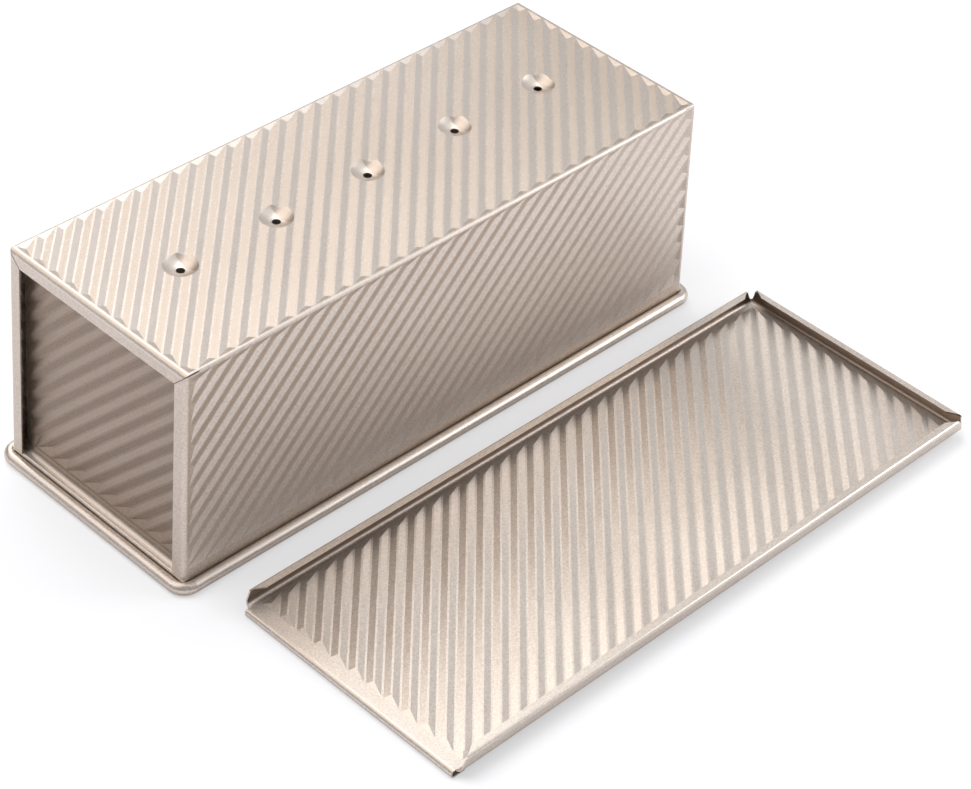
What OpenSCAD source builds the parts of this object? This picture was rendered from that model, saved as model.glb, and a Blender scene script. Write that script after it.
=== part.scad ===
// Corrugated pullman loaf pan with its sliding lid, in millimetres, +Z up.
// The pan stands mouth down on its wired rim, and the lid lies beside it with its channels up.
// The origin is on the floor, under the middle of the two pieces taken together.

/* [Pan] */
// Length of the base, outside the folded ends
base_l = 332.2; // [260:0.1:380]
// Width of the base, outside the long sides
base_w = 125.2; // [100:0.1:150]
// Height from the rim to the base
pan_h = 124.5; // [95:0.5:150]
// Outward lean of the long sides in degrees
side_lean = 0.45; // [0.3:0.05:2]
// Outward lean of the ends in degrees
end_lean = 2; // [1:0.1:4]

/* [Sheet and folds] */
// Thickness of the sheet steel
sheet = 0.8; // [0.6:0.05:1]
// Outer radius of the bends between the base and the long sides
side_bend_r = 1.3; // [1.1:0.1:3]
// Outer radius of the bends that lead into the end lips
end_bend_r = 2.6; // [1.5:0.1:4]
// Reach of the end lips, from the outside of the pan inwards
lip_reach = 7.8; // [6:0.1:10]
// Width of the open slit at each mitred corner of the end lips
slit_w = 0.5; // [0.3:0.1:1]
// Length of the slit along the base edge
slit_l = 8; // [4:0.5:12]
// Clearance between two layers of sheet
lap_gap = 0.05; // [0.03:0.01:0.15]

/* [Ribs] */
// Distance between neighbouring ribs, square to them
rib_pitch = 8.1; // [7:0.1:11]
// Depth of the grooves between the ribs
rib_h = 0.8; // [0.5:0.05:1]
// Width of each flat, on the crests and in the grooves
rib_land = 1; // [0.6:0.1:2]
// Sideways shift of the rib pattern on the base and the sides
rib_shift = 0; // [-4:0.1:4]
// Sideways shift of the rib pattern on the end plates
plate_shift = -1.2; // [-4:0.1:4]
// Sideways shift of the rib pattern on the lid
lid_shift = 0.5; // [-4:0.1:4]
// Plain margin between the bends and the ribs
rib_margin = 0.5; // [0.3:0.1:8]
// Length over which a groove rises to the surface at the bends
rib_run = 3; // [1:0.1:4]
// Height above the coves of the end plates at which the lowest ribs begin
rib_foot = 1; // [0.8:0.1:10]
// Length over which a groove rises to the surface at the foot of a side or an end plate
foot_run = 6; // [1:0.1:7]

/* [End plates] */
// Depth of the end plates behind the end lips
recess = 5; // [4.5:0.1:6]
// Outer radius of the bends into the flanges of the end plates
plate_bend_r = 6; // [4:0.1:8]
// Straight length of the flanges that lie against the body
flange_l = 4; // [2:0.5:8]
// Height above the rolled rim at which the coves turn down into it
nose_rise = 0.15; // [0:0.05:3]

/* [Wired rim] */
// Outside diameter of the rolled rim
roll_d = 6.4; // [5.5:0.1:7]
// Clearance between the wire and the roll
wire_gap = 0.05; // [0.03:0.01:0.15]
// Width of the slit between the roll and the wall
roll_slit = 0.45; // [0.3:0.05:0.8]
// Outer radius of the rim's corners
rim_corner_r = 10; // [8.5:0.5:14]

/* [Vents] */
// Number of dished vents along the base
vent_count = 5; // [1:1:5]
// Distance between neighbouring vents
vent_pitch = 58.3; // [40:0.1:60]
// Offset of the row of vents from the middle of the base, along X
vent_x = 1.6; // [-5:0.1:5]
// Offset of the row of vents from the middle of the base, along Y
vent_y = 1.7; // [-5:0.1:5]
// Diameter of each dish
dish_d = 18.2; // [12:0.1:24]
// Depth of each dish
dish_depth = 3.6; // [2.5:0.1:5]
// Diameter of the hole in each dish
vent_d = 4.4; // [3:0.1:6]

/* [Lid] */
// Play between the rim and each wall of the lid
lid_play = 1; // [0.6:0.1:1.5]
// Play between the rim and the lips above it
lip_play = 0.4; // [0.3:0.05:1]
// Width of the lips along the long sides, from the outside
lid_lip = 4.6; // [4:0.1:6]
// Width of the lip at the stop end, from the outside
stop_lip = 4.2; // [3:0.1:5]
// Outer radius of the lid's lower bends
lid_bend_r = 3.4; // [1.2:0.1:3.6]
// Outer radius of the bends into the lips
lip_bend_r = 1.3; // [1:0.1:2]
// Height of the folded hem at the open end
hem_h = 4.4; // [3:0.1:5]
// Length that is folded back under the hem
hem_fold = 6; // [4:0.5:10]
// Overhang of the hem past the rim with the lid pushed home
hem_over = 2.3; // [0.5:0.1:6]
// Plain margin at the open end, where the hem is folded under
lid_margin = 9; // [9:0.5:16]
// Plain margin along the walls, where the rolled rim slides
wall_margin = 5.5; // [5.2:0.1:9]
// Set-back of the walls from the outside of the hem
wall_back = 2.6; // [1:0.1:6]
// Cut-back of the walls at each corner of the stop end
corner_cut = 1.3; // [1.1:0.1:5]
// Further set-back of the long walls at their top, at each end
wall_slant = 3.2; // [1:0.1:6]
// Further set-back of the stop wall at its top, at each end
stop_slant = 1.5; // [0.5:0.1:4]
// Length of the slanted ends of the lips
lip_taper = 7; // [3:0.5:12]

/* [Layout] */
// Gap between the rim and the lid beside it
lid_gap = 21.9; // [5:0.1:60]
// Distance that the lid lies along +X from its place on the pan
lid_draw = 18.4; // [0:0.1:100]

/* [Hidden] */
$fn = 48;
far = 400;

function to_hundredth(length) = round(100 * length) / 100;

roll_r = roll_d / 2;
wire_r = roll_r - sheet - wire_gap;
mouth_l = to_hundredth(base_l + 2 * (pan_h - roll_d) * tan(end_lean));
mouth_w = to_hundredth(base_w + 2 * (pan_h - roll_d) * tan(side_lean));
// Centre line of the rolled rim, measured from the middle of the pan
roll_x = mouth_l / 2 - sheet + roll_r;
roll_y = mouth_w / 2 - sheet + roll_r;
roll_corner_r = rim_corner_r - roll_r;
rim_l = 2 * (roll_x + roll_r);
rim_w = 2 * (roll_y + roll_r);
// How far the walls run into the roll
roll_lap = 0.2;
// Slope of an end edge, measured in the face of the leaning side
edge_lean = atan(tan(end_lean) * cos(side_lean));

// Width of the sloping flank between a crest and a groove
rib_flank_w = rib_pitch / 2 - rib_land;
// Height at which neighbouring flanks would meet above a crest
rib_peak = rib_h * rib_land / 2 / rib_flank_w;
rib_clear = rib_peak + 0.1;
dish_r = (pow(dish_d / 2, 2) + pow(dish_depth, 2)) / (2 * dish_depth);

// The flanges of the end plates clear the grooves, which stand out inside the body
flange_inset = sheet + rib_h + lap_gap;
// The nose turns as tightly as the sheet can, and the cove takes the rest of the way out to the rim
nose_r = sheet + 0.25;
shelf_z = roll_d + nose_rise + nose_r;
cove_r = (recess / cos(end_lean) + (shelf_z - roll_d) * tan(end_lean) - nose_r) / (1 - tan(end_lean));
cove_z = shelf_z + cove_r;
plate_l = recess + plate_bend_r + flange_l;

lid_w = rim_w + 2 * (lid_play + sheet);
lid_l = rim_l + hem_over + sheet;
plate_z = hem_h - sheet;
lid_top = hem_h + roll_d + lip_play + sheet;
hem_r = hem_h / 2;

// Where the pan and the lid lie
lid_from_pan_x = (sheet - hem_over) / 2 + lid_draw;
lid_from_pan_y = -(rim_w / 2 + lid_gap + lid_w / 2);
left_end = min(-rim_l / 2, lid_from_pan_x - lid_l / 2);
right_end = max(rim_l / 2, lid_from_pan_x + lid_l / 2);
pan_x = -(left_end + right_end) / 2;
pan_y = -(lid_from_pan_y - lid_w / 2 + rim_w / 2) / 2;
lid_x = pan_x + lid_from_pan_x;
lid_y = pan_y + lid_from_pan_y;

module at_pan() translate([pan_x, pan_y, 0]) children();

module at_lid() translate([lid_x, lid_y, 0]) children();

// A shape and its copy turned half way round
module both_turns() for (turn = [0, 180]) rotate([0, 0, turn]) children();

// Runs a profile drawn in XZ along Y
module along_y(length) rotate([90, 0, 0]) linear_extrude(height = length, center = true) children();

// Runs a profile drawn in YZ along X
module along_x(length) rotate([90, 0, 90]) linear_extrude(height = length, center = true) children();

// Face frames: X and Y lie in the outer surface, Z points outwards, and Y is 0 at the edge of the base
module front_face() translate([0, -base_w / 2, pan_h]) rotate([90 - side_lean, 0, 0]) children();

module left_face() translate([-base_l / 2, 0, pan_h]) rotate([90 - end_lean, 0, -90]) children();

// Edge frames of the front side: X runs inwards from the end, Y up the edge and Z outwards
module left_edge() front_face() translate([-base_l / 2, 0, 0]) rotate([0, 0, -edge_lean]) children();

module right_edge() front_face() translate([base_l / 2, 0, 0]) rotate([0, 0, edge_lean]) mirror([1, 0, 0]) children();

// The space that the grooves take from a face: flat floors, sloping flanks, 45 degrees to the edges
module groove_comb(shift, reach) {
    rows = ceil(reach / rib_pitch);
    start = shift - rib_pitch * round(shift / rib_pitch);
    first = start - (rows + 0.5) * rib_pitch;
    last = start + (rows + 0.5) * rib_pitch;
    teeth = [for (i = [-rows:rows]) each [
        [start + i * rib_pitch - rib_land / 2, -rib_h],
        [start + i * rib_pitch + rib_land / 2, -rib_h],
        [start + (i + 0.5) * rib_pitch, rib_peak]
    ]];
    rotate([90, 0, -45])
        linear_extrude(height = 2 * reach, center = true)
            polygon(concat([[last, rib_clear], [first, rib_clear], [first, rib_peak]], teeth));
}

// Everything past x, with a slope along which the grooves deepen over the length of the run
module field_from(x, run) along_y(2 * far)
    polygon([[x - run, rib_h], [x + 2 * run, -2 * rib_h], [x + 2 * far, -2 * rib_h], [x + 2 * far, rib_h]]);

// The stretch between two such lines, at the same distance on both sides of the middle
module field_within(half) intersection() {
    field_from(-half, rib_run);
    mirror([1, 0, 0]) field_from(-half, rib_run);
}

module base_grooves(inset) translate([0, 0, pan_h - inset]) intersection() {
    groove_comb(rib_shift, (base_l + base_w) / sqrt(8) + 2 * rib_pitch);
    field_within(base_l / 2 - end_bend_r - rib_margin);
    rotate([0, 0, 90]) field_within(base_w / 2 - side_bend_r - rib_margin);
}

// The grooves of the front side, in line with those of the base across the bend
module side_grooves(shift, inset) {
    in = [0, 0, -inset];
    intersection() {
        front_face() translate(in)
            groove_comb(shift - base_w / sqrt(8), (mouth_l / 2 + pan_h) / sqrt(2) + 2 * rib_pitch);
        front_face() translate(in) rotate([0, 0, -90]) field_from(side_bend_r + rib_margin, rib_run);
        front_face() translate(in) rotate([0, 0, 90])
            field_from(-(pan_h - cove_z - rib_foot) / cos(side_lean), foot_run);
        left_edge() translate(in) field_from(end_bend_r + rib_margin, rib_run);
        right_edge() translate(in) field_from(end_bend_r + rib_margin, rib_run);
    }
}

module body_grooves(inset) {
    base_grooves(inset);
    side_grooves(rib_shift, inset);
    rotate([0, 0, 180]) side_grooves(-rib_shift, inset);
}

// An outline with leaning flanks and rounded shoulders, given by its half width at the top
module shoulder_outline(half, top, bottom, lean, r) {
    foot = half + (top - bottom) * tan(lean);
    cx = half - r / cos(lean) + r * tan(lean);
    shoulder = [cx + r * cos(lean), top - r + r * sin(lean)];
    polygon([
        [-foot, bottom], [-shoulder[0], shoulder[1]], [-cx, top],
        [cx, top], shoulder, [foot, bottom]
    ]);
    for (side = [-1, 1]) translate([side * cx, top - r]) circle(r = r);
}

// Half width, at its own top, of an outline that lies inside an outer plane by a depth
function inset_half(half, drop, depth, lean) = half + drop * tan(lean) - depth / cos(lean);

// What a bend of outer radius r takes off a square edge that runs down from the origin
module bend_waste(r, length) rotate([90, 0, 0]) linear_extrude(height = length) difference() {
    translate([-3, -r]) square([r + 3, r + 3]);
    translate([r, -r]) circle(r = r);
}

// Outline of the body across X, set in by the same distance all round
module body_section(inset, bottom) shoulder_outline(
    inset_half(base_w / 2, inset, inset, side_lean), pan_h - inset, bottom, side_lean, side_bend_r - inset
);

// The body as a solid block with its bends
module body_block(inset, bottom) difference() {
    drop = (pan_h - shelf_z - lap_gap) / cos(side_lean);
    intersection() {
        along_x(2 * far) body_section(inset, bottom);
        along_y(far) shoulder_outline(
            inset_half(base_l / 2, inset, inset, end_lean), pan_h - inset, bottom, end_lean, end_bend_r - inset
        );
    }
    both_turns() {
        left_edge() translate([inset, 0, -inset]) bend_waste(end_bend_r - inset, drop);
        right_edge() translate([inset, 0, -inset]) bend_waste(end_bend_r - inset, drop);
    }
}

// The opening inside the three lips of the left end
module end_window() {
    half = inset_half(base_w / 2, lip_reach, lip_reach, side_lean);
    foot = inset_half(base_w / 2, pan_h, lip_reach, side_lean);
    left_face() translate([0, 0, -end_bend_r]) linear_extrude(height = 2 * end_bend_r)
        polygon([[-half, -lip_reach], [half, -lip_reach], [foot, -pan_h], [-foot, -pan_h]]);
}

// Cuts that part the base lips from the lips of the front side, in the plane of each mitre
module mitre_slits() for (side = [-1, 1])
    translate([side * base_l / 2, -base_w / 2, pan_h]) rotate([-45, 0, 0])
        translate([side < 0 ? -2 : -slit_l, -2, -slit_w / 2]) cube([slit_l + 2, 2 * lip_reach, slit_w]);

module at_vents() for (i = [0:vent_count - 1])
    translate([(i - (vent_count - 1) / 2) * vent_pitch + vent_x, vent_y, pan_h - dish_depth]) children();

module dishes(inset) at_vents() translate([0, 0, dish_r]) sphere(r = dish_r + inset);

// The sheet rolled round the wire: X points away from the pan, and the wall comes down at -X
module roll_section(stub) difference() {
    union() {
        circle(r = roll_r);
        translate([-roll_r, 0]) square([sheet, roll_r + stub]);
    }
    circle(r = roll_r - sheet);
    translate([-roll_r + sheet, 0]) square([roll_slit, roll_r + 1]);
}

module roll_run(offset, length) translate([offset, 0, roll_r]) along_y(length) roll_section(roll_lap);

// The centres about which the rim turns its corners at the right end, each with a frame that starts at +X
module at_rim_corners() for (side = [0, 1]) mirror([0, side, 0])
    translate([roll_x - roll_corner_r, roll_y - roll_corner_r, roll_r]) children();

// Base and both long sides, bent from one sheet
module pan_wrap() at_pan() color("#bda98f") {
    straight = 2 * (roll_x - roll_corner_r - lap_gap);
    difference() {
        body_block(0, roll_d - roll_lap);
        body_grooves(0);
        dishes(0);
        difference() {
            body_block(sheet, 0);
            body_grooves(sheet);
            dishes(sheet);
        }
        // Below the lips the sides stand alone, and the foot of each end plate passes between them
        intersection() {
            along_x(far) body_section(sheet, 0);
            translate([-far, -far, 0]) cube([2 * far, 2 * far, shelf_z + lap_gap]);
        }
        both_turns() {
            end_window();
            mitre_slits();
            translate([straight / 2, -far / 2, 0]) cube([far, far, roll_d + lap_gap]);
        }
        at_vents() cylinder(h = 4 * sheet, d = vent_d, center = true);
    }
    both_turns() rotate([0, 0, 90]) roll_run(roll_y, straight);
}

// The left end plate above its cove as a block: a face, three rounded edges and three flanges
module plate_block(inset, bottom) difference() {
    side = flange_inset + inset;
    face = recess + inset;
    r = plate_bend_r - inset;
    intersection() {
        along_x(2 * far) shoulder_outline(
            inset_half(base_w / 2, side, side, side_lean), pan_h - side, bottom, side_lean, side_bend_r - inset
        );
        along_y(far) shoulder_outline(
            inset_half(base_l / 2, side, face, end_lean), pan_h - side, bottom, end_lean, r
        );
    }
    for (edge = [0, 1]) mirror([0, edge, 0]) left_edge() translate([face, 0, -side]) bend_waste(r, pan_h);
}

// The foot of the left end plate across Y: a cove, a nose and a wall down to the roll
module foot_section(inset, bottom) {
    x = -mouth_l / 2 + nose_r;
    difference() {
        translate([x, bottom]) square([far, cove_z - inset - bottom]);
        translate([x, cove_z]) circle(r = cove_r + inset);
    }
    translate([x - nose_r + inset, bottom]) square([nose_r - inset, shelf_z - nose_r - bottom]);
    translate([x, shelf_z - nose_r]) circle(r = nose_r - inset);
}

// The grooves of an end plate run out on its rounded edges
module plate_grooves(inset) left_face() translate([0, 0, -recess - inset]) intersection() {
    edge = flange_inset + plate_bend_r / 2;
    groove_comb(plate_shift, (base_w + 2 * pan_h) / sqrt(8) + 2 * rib_pitch);
    field_within(base_w / 2 - edge);
    rotate([0, 0, -90]) field_from(edge, rib_run);
    rotate([0, 0, 90]) field_from(-(pan_h - cove_z - rib_foot) / cos(end_lean), foot_run);
}

module left_plate() {
    difference() {
        intersection() {
            union() {
                plate_block(0, cove_z);
                intersection() {
                    along_y(far) foot_section(0, roll_d - roll_lap);
                    along_x(2 * far) body_section(sheet + lap_gap, 0);
                }
            }
            translate([-far, -far / 2, 0]) cube([far - base_l / 2 + plate_l, far, far]);
        }
        difference() {
            union() {
                plate_block(sheet, cove_z - 2 * sheet);
                along_y(far) foot_section(sheet, 0);
            }
            plate_grooves(sheet);
        }
        plate_grooves(0);
    }
    rotate([0, 0, 180]) {
        roll_run(roll_x, 2 * (roll_y - roll_corner_r));
        at_rim_corners() rotate_extrude(angle = 90) translate([roll_corner_r, 0]) roll_section(0);
    }
}

// One pressing closes each end, and both ends take the same one
module left_end_plate() at_pan() color("#a8957d") left_plate();

module right_end_plate() at_pan() color("#a8957d") rotate([0, 0, 180]) left_plate();

// Closed loop of wire inside the rolled rim
module rim_wire() at_pan() color("#8d8a84") both_turns() {
    translate([roll_x, 0, roll_r]) rotate([90, 0, 0])
        cylinder(h = 2 * (roll_y - roll_corner_r), r = wire_r, center = true);
    translate([0, roll_y, roll_r]) rotate([0, 90, 0])
        cylinder(h = 2 * (roll_x - roll_corner_r), r = wire_r, center = true);
    at_rim_corners() rotate_extrude(angle = 90) translate([roll_corner_r, 0]) circle(r = wire_r);
}

module corner_waste(r) difference() {
    square(r + 1);
    circle(r = r);
}

// A wall of the lid across its length, filled in behind: X is 0 on its outside, and the floor is at plate_z
module wall_section(inset) difference() {
    translate([-2 * far, plate_z + inset]) square([2 * far - inset, lid_top - plate_z - 2 * inset]);
    translate([-lid_bend_r, plate_z + lid_bend_r]) mirror([0, 1]) corner_waste(lid_bend_r - inset);
    translate([-lip_bend_r, lid_top - lip_bend_r]) corner_waste(lip_bend_r - inset);
}

// The lid as a solid block, with walls on three edges and its open end at -X
module lid_block(inset) intersection() {
    translate([lid_l / 2, 0, 0]) along_y(far) wall_section(inset);
    intersection_for(side = [-1, 1])
        rotate([0, 0, side * 90]) translate([lid_w / 2, 0, 0]) along_y(2 * far) wall_section(inset);
}

// The grooves are pressed in from below, so the ribs stand up inside the lid
module lid_grooves(inset) translate([0, 0, plate_z + inset]) mirror([0, 0, 1]) intersection() {
    groove_comb(lid_shift, (lid_l + lid_w) / sqrt(8) + 2 * rib_pitch);
    field_from(-lid_l / 2 + lid_margin, rib_run);
    mirror([1, 0, 0]) field_from(-lid_l / 2 + wall_margin, rib_run);
    rotate([0, 0, 90]) field_within(lid_w / 2 - wall_margin);
}

// Plan of what is open above the lid, between the lips and past their slanted ends
module lip_opening() {
    start = -lid_l / 2 + wall_back + wall_slant;
    stop = lid_l / 2 - corner_cut - wall_slant;
    stop_y = lid_w / 2 - corner_cut - stop_slant;
    half = [
        [-lid_l / 2 - 1, lid_w / 2 + 1],
        [start - lip_taper / lid_lip, lid_w / 2 + 1],
        [start + lip_taper, lid_w / 2 - lid_lip],
        [stop - lip_taper, lid_w / 2 - lid_lip],
        [stop + lip_taper / lid_lip, lid_w / 2 + 1],
        [lid_l / 2 + 1, lid_w / 2 + 1],
        [lid_l / 2 + 1, stop_y + lip_taper / stop_lip],
        [lid_l / 2 - stop_lip, stop_y - lip_taper]
    ];
    last = len(half) - 1;
    polygon(concat(half, [for (i = [last:-1:0]) [half[i][0], -half[i][1]]]));
}

// Cuts the end of a wall back along a slope, in a frame with X along the wall and Y inwards
module wall_end(back, slant, depth) translate([0, depth, 0]) rotate([90, 0, 0])
    linear_extrude(height = depth + 1) polygon([
        [-1, -1], [back, -1], [back, plate_z],
        [back + slant, lid_top - lip_bend_r], [back + slant, lid_top + 1], [-1, lid_top + 1]
    ]);

// The open end's edge, folded back under the plate, across X
module hem_section() {
    difference() {
        translate([0, hem_r]) circle(r = hem_r);
        translate([0, hem_r]) circle(r = hem_r - sheet);
        translate([0, -1]) square(hem_h + 2);
    }
    square([hem_fold, sheet]);
}

// One sheet: ribbed plate, three walls with lips turned in, and a hem
module lid() at_lid() color("#c3ae94") {
    hem_x = -lid_l / 2 + hem_r;
    difference() {
        lid_block(0);
        lid_grooves(0);
        difference() {
            lid_block(sheet);
            lid_grooves(sheet);
        }
        translate([hem_x - far, -far / 2, 0]) cube([far, far, lid_top + 1]);
        translate([0, 0, lid_top - lip_bend_r]) linear_extrude(height = lip_bend_r + 1) lip_opening();
        for (side = [0, 1]) mirror([0, side, 0]) {
            translate([-lid_l / 2, lid_w / 2, 0]) mirror([0, 1, 0]) wall_end(wall_back, wall_slant, lid_bend_r);
            translate([lid_l / 2, lid_w / 2, 0]) rotate([0, 0, 180]) {
                wall_end(corner_cut, wall_slant, corner_cut);
                mirror([1, -1, 0]) wall_end(corner_cut, stop_slant, corner_cut);
            }
        }
    }
    translate([hem_x, 0, 0]) along_y(lid_w - 2 * lid_bend_r) hem_section();
}

pan_wrap();
left_end_plate();
right_end_plate();
rim_wire();
lid();
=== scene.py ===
# %% [markdown]
# # A pullman loaf pan with its sliding lid
# The pan stands on its wired rim, base up, and the lid lies beside it with its channels up. Both are bent
# from thin corrugated steel sheet with a pale gold non-stick coating. Outlines could be extruded here
# too, but bends and grooves that meet on both faces of a thin sheet are exact only in CAD. So every shape
# comes from the CAD frame. This script gives the pieces their finish, and adds the floor, the lamps and
# the camera.

# %% Load the frame
import math

import bmesh
import bpy
from mathutils import Matrix, Vector


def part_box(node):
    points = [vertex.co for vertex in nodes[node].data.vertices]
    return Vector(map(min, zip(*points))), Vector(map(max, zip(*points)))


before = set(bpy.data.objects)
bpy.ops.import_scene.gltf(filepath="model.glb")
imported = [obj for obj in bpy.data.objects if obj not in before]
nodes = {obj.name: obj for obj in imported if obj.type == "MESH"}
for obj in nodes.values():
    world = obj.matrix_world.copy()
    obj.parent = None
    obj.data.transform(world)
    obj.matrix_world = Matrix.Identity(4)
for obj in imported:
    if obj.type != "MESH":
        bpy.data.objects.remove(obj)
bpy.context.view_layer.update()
print("pieces:", ", ".join(sorted(nodes)))

# %% [markdown]
# ## The camera
# A long pan is pictured from well back with a long lens, so that its long edges stay almost parallel. The
# camera looks down by 39 degrees, from the corner between the left end and the front, and is rolled by
# 4 degrees. It could be aimed at a point with a Track To constraint, but that leaves out the roll. Its
# three axes are worked out from the angles instead, which is also simpler to adjust than a rotation matrix.

# %% Camera
# The middle of the pan on the table, and the way from there to the camera
PAN_CENTRE = Vector((-0.0096, 0.08188, 0.0))
PAN_TO_CAMERA = Vector((-0.80229, -0.82638, 0.93032))
AZIMUTH = math.radians(-47.318)
ELEVATION = math.radians(39.181)
ROLL = math.radians(4.054)
FOCAL_LENGTH_MM = 108.70
SENSOR_WIDTH_MM = 36.0
FARTHEST_SEEN = 20.0

back = Vector((
    math.sin(AZIMUTH) * math.cos(ELEVATION),
    -math.cos(AZIMUTH) * math.cos(ELEVATION),
    math.sin(ELEVATION),
))
level = Vector((math.cos(AZIMUTH), math.sin(AZIMUTH), 0.0))
upright = back.cross(level)
right = level * math.cos(ROLL) + upright * math.sin(ROLL)
up = upright * math.cos(ROLL) - level * math.sin(ROLL)

lens = bpy.data.cameras.new("camera")
lens.lens = FOCAL_LENGTH_MM
lens.sensor_width = SENSOR_WIDTH_MM
lens.clip_end = FARTHEST_SEEN
camera = bpy.data.objects.new("camera", lens)
bpy.context.scene.collection.objects.link(camera)
turn = Matrix((right, up, back)).transposed()
camera.matrix_world = Matrix.Translation(PAN_CENTRE + PAN_TO_CAMERA) @ turn.to_4x4()
bpy.context.scene.camera = camera
print("camera stands at", [round(v, 3) for v in camera.matrix_world.translation])

# %% [markdown]
# ## Shader maths in plain Python
# A finish is a graph of nodes. They could be added and linked one by one, but a formula is easier to read.
# `Wire` wraps one socket, so that `a * 2 + b` adds the Math nodes that it stands for. `Graph` wraps a node
# tree, and its `add` method makes every node.

# %% Socket wrapper
class Wire:
    """One output socket of a graph, with the operators that add Math nodes to it."""

    def __init__(self, graph, socket):
        self.graph = graph
        self.socket = socket

    def math(self, operation, *others):
        operands = dict(enumerate((self, *others)))
        return self.graph.add("ShaderNodeMath", {"operation": operation}, operands)

    def __add__(self, other):
        return self.math("ADD", other)

    def __mul__(self, other):
        return self.math("MULTIPLY", other)

    def __sub__(self, other):
        return self.math("SUBTRACT", other)

    def __rsub__(self, other):
        return self * -1.0 + other

    __radd__ = __add__
    __rmul__ = __mul__

    def clamp(self):
        return self.math("MAXIMUM", 0.0).math("MINIMUM", 1.0)

    def fade(self, start, end):
        """0 at the start and before it, 1 at the end and beyond it, and even between them."""
        return ((self - start) * (1.0 / (end - start))).clamp()


print("a wire has", ", ".join(name for name in vars(Wire) if not name.startswith("_")))

# %% Node graphs
class Graph:
    """A node tree that is built from nothing."""

    def __init__(self, tree):
        self.tree = tree
        tree.nodes.clear()

    def add(self, kind, settings=None, sockets=None, out=0):
        """Adds a node: its settings, a ramp's stops among them, go before its sockets."""
        node = self.tree.nodes.new(kind)
        for key, value in (settings or {}).items():
            if key == "stops":
                self.set_stops(node.color_ramp.elements, value)
            else:
                setattr(node, key, value)
        for key, value in (sockets or {}).items():
            if isinstance(value, Wire):
                self.tree.links.new(value.socket, node.inputs[key])
            else:
                node.inputs[key].default_value = value
        return Wire(self, node.outputs[out]) if node.outputs else None

    def set_stops(self, elements, stops):
        """Gives a new ramp its stops, which are (position, grey level) and sorted by position."""
        while len(elements) < len(stops):
            elements.new(1.0)
        for element, (position, shade) in zip(elements, stops):
            element.position = position
            element.color = (shade, shade, shade, 1.0)

    def part(self, vector, axis):
        """The X, Y or Z of a vector."""
        return self.add("ShaderNodeSeparateXYZ", sockets={"Vector": vector}, out=axis)

    def mix(self, factor, first, second):
        """A blend of two colours. The sockets of a Mix node share their names, so they go by number."""
        return self.add("ShaderNodeMix", {"data_type": "RGBA"}, {0: factor, 6: first, 7: second}, out=2)


class Finish(Graph):
    """A material. Place and normal are the point and the direction of its surface, in the object's axes."""

    def __init__(self, name):
        self.material = bpy.data.materials.new(name)
        self.material.use_nodes = True
        super().__init__(self.material.node_tree)
        self.place = self.add("ShaderNodeTexCoord", out="Object")
        self.normal = self.add("ShaderNodeTexCoord", out="Normal")

    def noise(self, scale, detail, roughness):
        numbers = {"Vector": self.place, "Scale": scale, "Detail": detail, "Roughness": roughness}
        return self.add("ShaderNodeTexNoise", sockets=numbers, out="Fac")

    def done(self, surface):
        """Links the surface shader to the output and returns the material."""
        self.add("ShaderNodeOutputMaterial", sockets={"Surface": surface})
        return self.material


print("a finish is a graph with", ", ".join(name for name in vars(Finish) if not name.startswith("_")))

# %% [markdown]
# ## The grain of the coating
# The coating is a baked varnish full of fine metal flakes: it has a satin gloss, a warm pale gold colour
# and a speckle about half a millimetre across. A picture of it would blur and repeat on faces this large,
# so noise makes the speckle. Fine noise is the single flakes, which also lift the surface a little,
# coarser noise is the specks they form, and slow noise keeps the large faces from looking perfectly even.

# %% Grain
# Scales are in cells of noise per metre
FLAKE_SCALE = 2100.0
FLAKE_SHARE = 0.5
SPECK_SCALE = 900.0
SPECK_SHARE = 0.3
CLOUD_SCALE = 9.0
CLOUD_SHARE = 0.2
GRAIN_STRENGTH = 3.0


def noises(finish):
    """Flakes, specks and clouds."""
    flakes = finish.noise(FLAKE_SCALE, detail=2.0, roughness=0.6)
    specks = finish.noise(SPECK_SCALE, detail=1.0, roughness=0.5)
    clouds = finish.noise(CLOUD_SCALE, detail=3.0, roughness=0.5)
    return flakes, specks, clouds


def grain(flakes, specks, clouds):
    """How much paler than average the noises make the coating, and below 0 how much deeper."""
    together = flakes * FLAKE_SHARE + specks * SPECK_SHARE + clouds * CLOUD_SHARE
    return (together - 0.5) * GRAIN_STRENGTH


print("flakes are about", round(1000.0 / FLAKE_SCALE, 2), "mm across")

# %% [markdown]
# ## Painted light and shade on the grooves
# Light from above is painted into the coating. Faces that look a little upwards are painted palest, and
# those that look a little downwards deepest. So on the upright faces the flank of each groove that looks
# upwards is paler and the other flank is deeper. This could be painted groove by groove, but the way a face
# looks already tells the flanks apart, so a ramp on the normal's Z does it. On the level faces the large
# lamp alone makes the stripes strong, so painted shade and painted light work against it and even them. The
# slopes where their grooves run out at the left end would glint in that lamp, and painted shade dulls them
# too.

# %% Painted light by facing
# Position 0 is a face that looks straight down, 0.5 an upright one, 1 one that looks straight up
# Painted light and shade: how pale a face is painted for the way it looks, as (position, paleness)
PAINTED_LIGHT_BY_FACING = (
    (0.0, 0.3),
    (0.40, 0.0),
    (0.50, 0.25),
    (0.60, 0.85),
    (0.80, 0.6),
    (1.0, 0.5),
)
# How strongly the painted light and shade by facing show, and how much painted shade dulls the run-out
# slopes
PAINTED_LIGHT_STRENGTH = 0.9
RUN_OUT_PAINTED_SHADE = 0.5
# Where the normal's part along an axis starts to count and where it counts in full
LOOKS_UP = (0.6, 0.85)
LEANS_LEFT = (-0.22, -0.27)


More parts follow.
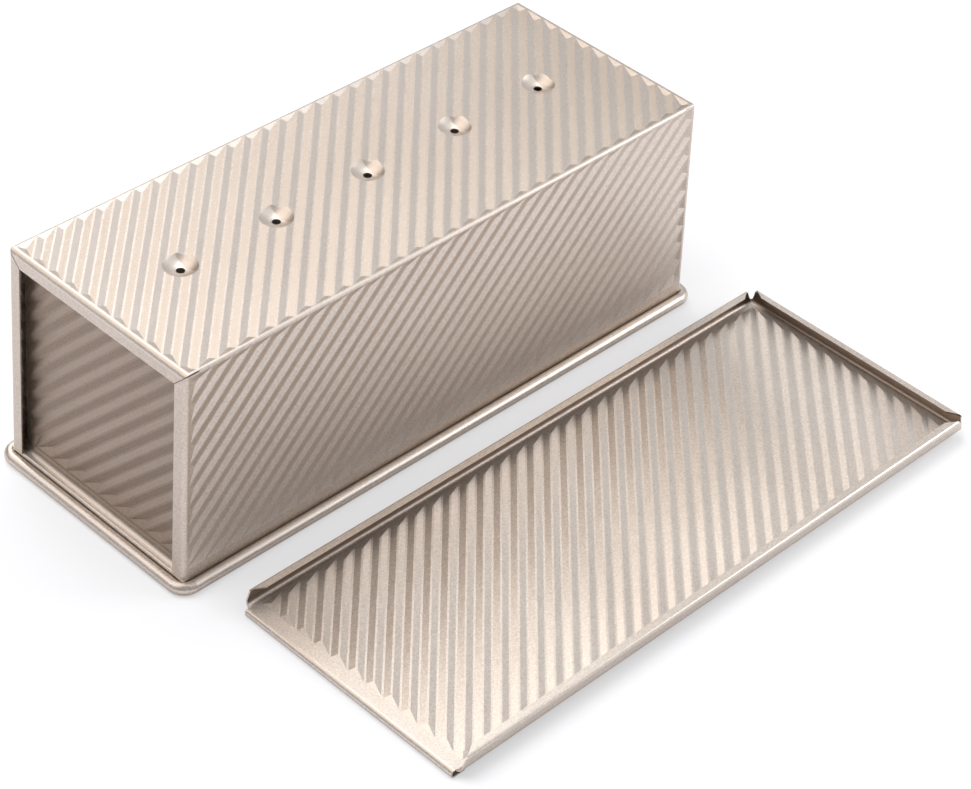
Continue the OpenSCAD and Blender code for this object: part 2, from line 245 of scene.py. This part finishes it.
def painted_flank_light(finish, painted_evening):
    """How pale painted light and shade make the coating, about 0.5; evened sets how far they even the
    stripes on level faces.
    """
    east = finish.part(finish.normal, "X")
    north = finish.part(finish.normal, "Y")
    upward = finish.part(finish.normal, "Z")
    ramp = finish.add("ShaderNodeValToRGB", {"stops": PAINTED_LIGHT_BY_FACING}, {"Fac": upward * 0.5 + 0.5})
    # Painted shade on the flanks that face the large lamp and painted light on the others, on level faces
    # only
    painted_evening_term = upward.fade(*LOOKS_UP) * (north - east) * painted_evening
    return ramp * PAINTED_LIGHT_STRENGTH - painted_evening_term + (0.5 - 0.5 * PAINTED_LIGHT_STRENGTH)


def run_out_painted_shade(finish):
    """Above 0 on the slopes at the left end of a level face, where its grooves run out: painted shade that
    dulls their glint.
    """
    east = finish.part(finish.normal, "X")
    upward = finish.part(finish.normal, "Z")
    return upward.fade(*LOOKS_UP) * east.fade(*LEANS_LEFT) * RUN_OUT_PAINTED_SHADE


# The facing that the painted light makes palest
palest = max(PAINTED_LIGHT_BY_FACING, key=lambda stop: stop[1])
print("rubbed palest where the normal's Z is", round(palest[0] * 2.0 - 1.0, 2))

# %% [markdown]
# ## Painted shade on the inner walls of the lid
# The lid is a shallow tray. The inner sides of its walls look dark, because they see little of the lamps
# and mostly each other. More of that shade than the lamps here give is painted into the tone of the
# coating.
# These sides could have a material of their own, but the lid is one sheet and one mesh. A face of it is an
# inner one if it looks towards the lid's middle, which its place and its normal tell together.

# %% Painted shade on inner walls
# How far a face lies from the middle of its tray along its own normal, in metres, and below 0 if it
# looks inwards: where the painted shade starts and where it is full
LOOKS_INWARDS = (-0.03, -0.05)


def inner_wall_painted_shade(finish, middle):
    """1 on the faces that look towards the middle of a tray, which painted shade darkens, and 0 elsewhere.
    """
    east = finish.part(finish.normal, "X")
    north = finish.part(finish.normal, "Y")
    along = finish.part(finish.place, "X") - middle[0]
    across = finish.part(finish.place, "Y") - middle[1]
    return (along * east + across * north).fade(*LOOKS_INWARDS)


lid_low, lid_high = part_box("lid")
lid_middle = ((lid_low[0] + lid_high[0]) / 2, (lid_low[1] + lid_high[1]) / 2)
print("middle of the lid:", [round(v, 4) for v in lid_middle])

# %% [markdown]
# ## The finished coating
# A Principled shader that is mostly metallic gives the satin reflections of the flakes under their
# varnish. A clear coat on top would mirror the lamps too sharply. The base, the long sides and the rim
# wear the pale gold, and the lid a copy of it with painted light that is a little paler. The two ends look
# far darker, because they lie behind their lips and mirror the dim side of a studio. The plain room here
# gives only a part of that, so above the rim they wear a deeper copy of the gold with painted shade.

# %% Colours
def srgb(red, green, blue):
    """A colour as it is seen on a screen, 0 to 255, as the linear values that a shader takes."""
    def linear(value):
        value = value / 255.0
        return value / 12.92 if value <= 0.04045 else ((value + 0.055) / 1.055) ** 2.4
    return (linear(red), linear(green), linear(blue), 1.0)


# The pale and the deep tone of each: the gold, its deeper copy with painted shade for the ends, and its
# paler copy with painted light for the lid
GOLD = (srgb(225, 215, 207), srgb(184, 170, 157))
END_PAINTED_SHADE_GOLD = (srgb(166, 149, 135), srgb(132, 115, 102))
LID_PAINTED_LIGHT_GOLD = (srgb(228, 219, 211), srgb(184, 171, 159))
# The deep tone of painted shade, for the lid's inner walls and the run-out slopes
PAINTED_SHADE_GOLD = srgb(122, 106, 94)
print("the pale gold is", [round(v, 2) for v in GOLD[0][:3]], "to a shader")

# %% Coating
# Where the rim's tones end, and the height in which the plate's tones, painted shade on the ends, take over
RIM_HEIGHT = 0.0072
RIM_BLEND = 0.0025
METALLIC = 0.85
ROUGHNESS = 0.40
SPECK_GLOSS = 0.16
CLOUD_GLOSS = 0.08
FLAKE_LIFT = {"Strength": 0.16, "Distance": 0.0002}


def coating(name, tones, rim_tones=None, painted_evening=0.0, tray=None):
    """A non-stick coating with a pale and a deep tone.

    The rim's tones are given where they differ, evened sets how far painted shade and light even the
    stripes on level faces, and tray is the middle of a tray whose inner walls get painted shade.
    """
    finish = Finish(name)
    pale, deep = tones
    if rim_tones:
        # Above the rim the given tones take over; on the ends they are the copy with painted shade
        height = finish.part(finish.place, "Z")
        above_rim = height.fade(RIM_HEIGHT, RIM_HEIGHT + RIM_BLEND)
        pale = finish.mix(above_rim, rim_tones[0], pale)
        deep = finish.mix(above_rim, rim_tones[1], deep)
    flakes, specks, clouds = noises(finish)
    # Random grain of the flakes, plus painted light and shade by facing
    tone = grain(flakes, specks, clouds) + painted_flank_light(finish, painted_evening)
    colour = finish.mix(tone.clamp(), deep, pale)
    # Painted shade on the run-out slopes, so that they don't glint in the large lamp
    colour = finish.mix(run_out_painted_shade(finish), colour, PAINTED_SHADE_GOLD)
    # Painted shade on the inner walls of the lid
    if tray:
        colour = finish.mix(inner_wall_painted_shade(finish, tray), colour, PAINTED_SHADE_GOLD)
    gloss = (specks - 0.5) * SPECK_GLOSS + (clouds - 0.5) * CLOUD_GLOSS + ROUGHNESS
    bump = finish.add("ShaderNodeBump", sockets={"Height": flakes, **FLAKE_LIFT})
    return finish.done(finish.add("ShaderNodeBsdfPrincipled", sockets={
        "Base Color": colour,
        "Metallic": METALLIC,
        "Roughness": gloss.clamp(),
        "Normal": bump,
    }))


# The ends wear the copy with painted shade above the rim
pan_coating = coating("pan_coating", GOLD, painted_evening=1.4)
end_painted_shade_coating = coating("end_painted_shade_coating", END_PAINTED_SHADE_GOLD, rim_tones=GOLD)
# The lid wears the paler copy of the gold with painted light
lid_coating = coating("lid_coating", LID_PAINTED_LIGHT_GOLD, painted_evening=0.7, tray=lid_middle)
for made in (pan_coating, end_painted_shade_coating, lid_coating):
    print(made.name, "has", len(made.node_tree.nodes), "nodes")

# %% [markdown]
# ## The rim wire
# The wire inside the rolled rim is plain drawn steel. It shows only at the small gaps of the rim's
# corners, so drawing lines along its length wouldn't be seen. A grey metal with a faint grain is enough.

# %% Wire steel
def drawn_steel():
    finish = Finish("drawn_steel")
    specks = finish.noise(1500.0, detail=3.0, roughness=0.6)
    bump = finish.add("ShaderNodeBump", sockets={"Height": specks, "Strength": 0.1, "Distance": 0.0001})
    return finish.done(finish.add("ShaderNodeBsdfPrincipled", sockets={
        "Base Color": finish.mix(specks, srgb(120, 118, 115), srgb(170, 168, 165)),
        "Metallic": 1.0,
        "Roughness": specks * 0.2 + 0.3,
        "Normal": bump,
    }))


wire_steel = drawn_steel()
print(wire_steel.name, "has", len(wire_steel.node_tree.nodes), "nodes")

# %% [markdown]
# ## Which piece wears what
# The wrap is the sheet of the base and both long sides, and the two end plates close it. Every CAD piece
# arrives with a plain material in its slot, so the finish goes into that slot and the mesh is left alone.

# %% Dress the pieces
dress = {
    "pan_wrap": pan_coating,
    "left_end_plate": end_painted_shade_coating,
    "right_end_plate": end_painted_shade_coating,
    "lid": lid_coating,
    "rim_wire": wire_steel,
}
for name, material in dress.items():
    for slot in nodes[name].material_slots:
        slot.material = material
    print(name, "wears", material.name)

# %% [markdown]
# ## The table
# The pan and the lid stand on a white table. A curved backdrop isn't needed, because the camera looks down
# and sees only the table. It is one large sheet. A part of its white is a glow that the camera sees and
# that doesn't light the pan, so the sheet looks almost pure white and still takes the soft shadows. The
# metal mirrors a trace of that glow.

# %% Table
TABLE_REACH = 6.0
TABLE_PAPER = {"Color": srgb(245, 245, 248), "Roughness": 0.5}
WHITE = (1.0, 1.0, 1.0, 1.0)
SEEN_GLOW = 0.45
MIRRORED_GLOW = 0.05


def table_sheet(reach):
    """A level square that goes from -reach to reach."""
    mesh = bpy.data.meshes.new("floor")
    shape = bmesh.new()
    bmesh.ops.create_grid(shape, x_segments=1, y_segments=1, size=reach)
    shape.to_mesh(mesh)
    shape.free()
    sheet = bpy.data.objects.new("floor", mesh)
    bpy.context.scene.collection.objects.link(sheet)
    return sheet


def white_table():
    finish = Finish("white_table")
    paper = finish.add("ShaderNodeBsdfDiffuse", sockets=TABLE_PAPER)
    glow = finish.add("ShaderNodeEmission", sockets={"Color": WHITE, "Strength": 1.0})
    seen = finish.add("ShaderNodeLightPath", out="Is Camera Ray")
    mirrored = finish.add("ShaderNodeLightPath", out="Is Glossy Ray")
    through = finish.add("ShaderNodeLightPath", out="Is Transmission Ray")
    share = (seen * SEEN_GLOW + mirrored * MIRRORED_GLOW + through * SEEN_GLOW).clamp()
    return finish.done(finish.add("ShaderNodeMixShader", sockets={0: share, 1: paper, 2: glow}))


floor = table_sheet(TABLE_REACH)
floor.data.materials.append(white_table())
print("table:", [round(v, 2) for v in floor.dimensions])

# %% [markdown]
# ## The lamps
# The lamps are softboxes, the soft light of a product studio. Point lamps would leave small hard glints on
# every groove. The large one stands high behind the pan, so the base and the lid mirror it, and the
# flanks of the grooves that face it turn pale. A smaller one at the right front lifts the far part of the
# long side. Each is given by the direction that it shines from and by its radiance, where 1 is the
# white of an Emission shader with a strength of 1.

# %% Lamps
def softbox(name, azimuth, elevation, distance, width, height, radiance):
    lamp = bpy.data.lights.new(name, "AREA")
    lamp.shape = "RECTANGLE"
    lamp.size = width
    lamp.size_y = height
    lamp.energy = math.pi * width * height * radiance
    holder = bpy.data.objects.new(name, lamp)
    bpy.context.scene.collection.objects.link(holder)
    around = math.radians(azimuth)
    above = math.radians(elevation)
    outwards = Vector((
        math.cos(around) * math.cos(above),
        math.sin(around) * math.cos(above),
        math.sin(above),
    ))
    aim = outwards.to_track_quat("Z", "Y").to_matrix().to_4x4()
    holder.matrix_world = Matrix.Translation(outwards * distance) @ aim
    print(name, "gives", round(lamp.energy, 1), "W")


softbox("back_softbox", azimuth=108.0, elevation=60.0, distance=1.9, width=2.6, height=1.8, radiance=3.0)
softbox("side_softbox", azimuth=-32.0, elevation=30.0, distance=0.95, width=0.5, height=0.5, radiance=4.0)

# %% [markdown]
# ## The room
# Satin metal mirrors its whole surroundings, so a black world would leave it dark and flat. A picture of a
# real room could surround it, but two soft gradients are enough. The room is lighter on the right than on
# the left, and lighter above than around. The left end of the pan mirrors the dim side.

# %% Room light
def graded(graph, value, start, end, first, last):
    """Goes smoothly from the first level to the last while a value goes from its start to its end."""
    numbers = {"Value": value, "From Min": start, "From Max": end, "To Min": first, "To Max": last}
    return graph.add("ShaderNodeMapRange", {"interpolation_type": "SMOOTHSTEP"}, numbers, out="Result")


def room(dim, bright, around, above):
    world = bpy.data.worlds.new("studio")
    world.use_nodes = True
    graph = Graph(world.node_tree)
    direction = graph.add("ShaderNodeTexCoord", out="Generated")
    sideways = graded(graph, graph.part(direction, "X"), start=-1.0, end=1.0, first=dim, last=bright)
    upwards = graded(graph, graph.part(direction, "Z"), start=0.4, end=0.95, first=around, last=above)
    light = graph.add("ShaderNodeBackground", sockets={"Color": WHITE, "Strength": sideways * upwards})
    graph.add("ShaderNodeOutputWorld", sockets={"Surface": light})
    return world


studio = room(dim=0.34, bright=0.56, around=0.7, above=1.5)
bpy.context.scene.world = studio
bpy.context.scene.view_settings.view_transform = "Standard"
print(studio.name, "has", len(studio.node_tree.nodes), "nodes")

# %% [markdown]
# ## Sizes
# Nothing was added to the pan or the lid, so the box round all pieces is still the box of the CAD pieces.
